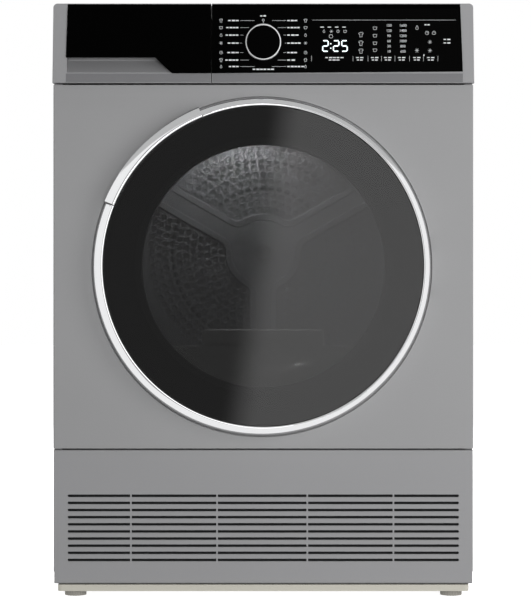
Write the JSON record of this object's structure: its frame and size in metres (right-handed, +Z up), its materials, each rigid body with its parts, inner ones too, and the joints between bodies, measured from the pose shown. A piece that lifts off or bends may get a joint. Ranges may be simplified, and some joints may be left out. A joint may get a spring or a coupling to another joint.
{
  "type": "clothes dryer",
  "caption": "Front-loading condenser clothes dryer with a round hinged glass door, chrome ring, slide-out water tank, programme knob, drop-down kick plate and belt-driven drum.",
  "frame": {"origin": "middle of the footprint on the floor, under the centre of the bounding box", "axes": "+Z up, the door and control panel face -Y, +X to the right seen from the front"},
  "size_m": [0.6, 0.609, 0.845],
  "materials": {
    "painted_steel": "satin silver paint",
    "laminated_board": "silver laminate",
    "silver_plastic": "satin silver",
    "galvanised_steel": "galvanised",
    "cream_plastic": "moulded",
    "light_plastic": "moulded",
    "blue_plastic": "moulded",
    "black_gloss": "high gloss",
    "chrome": "polished",
    "dark_glass": "tinted",
    "clear_glass": "clear",
    "dark_plastic": "moulded",
    "rubber": "matt",
    "felt": "wool felt",
    "stainless": "brushed",
    "bright_steel": "turned",
    "motor_paint": "satin",
    "aluminium_fins": "fins",
    "foot_plastic": "ribbed",
    "circuit_board": "solder mask"
  },
  "bodies": {
    "casing": {"front_panel": "painted_steel", "side_panel_left": "painted_steel", "side_panel_right": "painted_steel", "rear_panel": "galvanised_steel", "rear_duct_cover": "galvanised_steel", "top_panel": "laminated_board", "base_tray": "cream_plastic", "hinge_bracket": "galvanised_steel", "door_lock": "dark_plastic", "front_bulkhead": "galvanised_steel", "filter_housing": "light_plastic", "drum_lamp": "clear_glass", "felt_seals": "felt", "bearing_bracket": "galvanised_steel", "heater_box": "galvanised_steel", "drum_belt": "rubber", "drive_motor": "motor_paint", "fan_housing": "light_plastic", "tensioner_arm": "galvanised_steel", "condenser_housing": "light_plastic", "condenser_cassette": "aluminium_fins", "condenser_cover": "light_plastic", "condensate_pump": "dark_plastic", "mains_inlet": "dark_plastic", "tank_guide": "galvanised_steel", "control_housing": "silver_plastic", "control_fascia": "black_gloss", "control_board": "circuit_board"},
    "door": {"door_ring": "chrome", "door_handle": "chrome", "door_glass": "dark_glass", "door_inner_frame": "dark_plastic", "door_bowl": "clear_glass", "door_seal": "rubber", "hinge_leaf": "galvanised_steel", "latch_hook": "dark_plastic"},
    "kick_plate": {"kick_plate": "silver_plastic"},
    "tank_drawer": {"tank_drawer_front": "silver_plastic", "tank_fascia": "black_gloss", "tank_tub": "light_plastic"},
    "lint_filter": {"lint_filter": "light_plastic"},
    "knob": {"knob_cap": "black_gloss", "knob_ring": "chrome"},
    "drum": {"drum_shell": "stainless", "drum_rear_wall": "stainless", "drum_spider": "stainless", "hub_screws": "stainless", "drum_lifters": "light_plastic", "drum_shaft": "bright_steel"},
    "motor_rotor": {"motor_shaft": "bright_steel", "fan_wheels": "light_plastic"},
    "idler": {"belt_idler": "dark_plastic"},
    "roller_left": {"drum_roller_left": "rubber"},
    "roller_right": {"drum_roller_right": "rubber"},
    "lock_left": {"condenser_lock_left": "blue_plastic"},
    "lock_right": {"condenser_lock_right": "blue_plastic"},
    "foot_front_left": {"foot_front_left": "foot_plastic"},
    "foot_front_right": {"foot_front_right": "foot_plastic"},
    "foot_rear_left": {"foot_rear_left": "foot_plastic"},
    "foot_rear_right": {"foot_rear_right": "foot_plastic"}
  },
  "joints": [
    {"name": "door_hinge", "type": "hinge", "parent": "casing", "child": "door", "pos_m": [0.229, -0.276, 0.4715], "axis": [0, 0, 1], "range_deg": [0, 130]},
    {"name": "kick_plate_hinge", "type": "hinge", "parent": "casing", "child": "kick_plate", "pos_m": [0, -0.253, 0.031], "axis": [1, 0, 0], "range_deg": [0, 85]},
    {"name": "tank_slide", "type": "slide", "parent": "casing", "child": "tank_drawer", "axis": [0, -1, 0], "range_m": [0, 0.38]},
    {"name": "lint_filter_slide", "type": "slide", "parent": "casing", "child": "lint_filter", "axis": [0, 0, -1], "range_m": [-0.12, 0]},
    {"name": "knob_turn", "type": "hinge", "parent": "casing", "child": "knob", "pos_m": [0, -0.27, 0.7874], "axis": [0, 1, 0], "continuous": true},
    {"name": "drum_spin", "type": "hinge", "parent": "casing", "child": "drum", "pos_m": [0, 0, 0.503], "axis": [0, 1, 0], "continuous": true},
    {"name": "motor_spin", "type": "hinge", "parent": "casing", "child": "motor_rotor", "pos_m": [0.15, 0, 0.11], "axis": [0, 1, 0], "continuous": true},
    {"name": "idler_spin", "type": "hinge", "parent": "casing", "child": "idler", "pos_m": [0.07, 0.142, 0.15], "axis": [0, 1, 0], "continuous": true},
    {"name": "roller_left_spin", "type": "hinge", "parent": "casing", "child": "roller_left", "pos_m": [-0.16578, -0.172, 0.23769], "axis": [0, 1, 0], "continuous": true},
    {"name": "roller_right_spin", "type": "hinge", "parent": "casing", "child": "roller_right", "pos_m": [0.16578, -0.172, 0.23769], "axis": [0, 1, 0], "continuous": true},
    {"name": "lock_left_turn", "type": "hinge", "parent": "casing", "child": "lock_left", "pos_m": [-0.241, -0.24, 0.129], "axis": [0, 1, 0], "range_deg": [0, 90]},
    {"name": "lock_right_turn", "type": "hinge", "parent": "casing", "child": "lock_right", "pos_m": [-0.073, -0.24, 0.129], "axis": [0, 1, 0], "range_deg": [0, 90]},
    {"name": "foot_front_left_screw_out", "type": "slide", "parent": "casing", "child": "foot_front_left", "axis": [0, 0, -1], "range_m": [0, 0.015]},
    {"name": "foot_front_right_screw_out", "type": "slide", "parent": "casing", "child": "foot_front_right", "axis": [0, 0, -1], "range_m": [0, 0.015]},
    {"name": "foot_rear_left_screw_out", "type": "slide", "parent": "casing", "child": "foot_rear_left", "axis": [0, 0, -1], "range_m": [0, 0.015]},
    {"name": "foot_rear_right_screw_out", "type": "slide", "parent": "casing", "child": "foot_rear_right", "axis": [0, 0, -1], "range_m": [0, 0.015]}
  ],
  "couplings": [
    {"joint": "motor_spin", "follows": "drum_spin", "ratio": 28.75},
    {"joint": "idler_spin", "follows": "drum_spin", "ratio": 15.972},
    {"joint": "roller_left_spin", "follows": "drum_spin", "ratio": -11.5},
    {"joint": "roller_right_spin", "follows": "drum_spin", "ratio": -11.5}
  ]
}
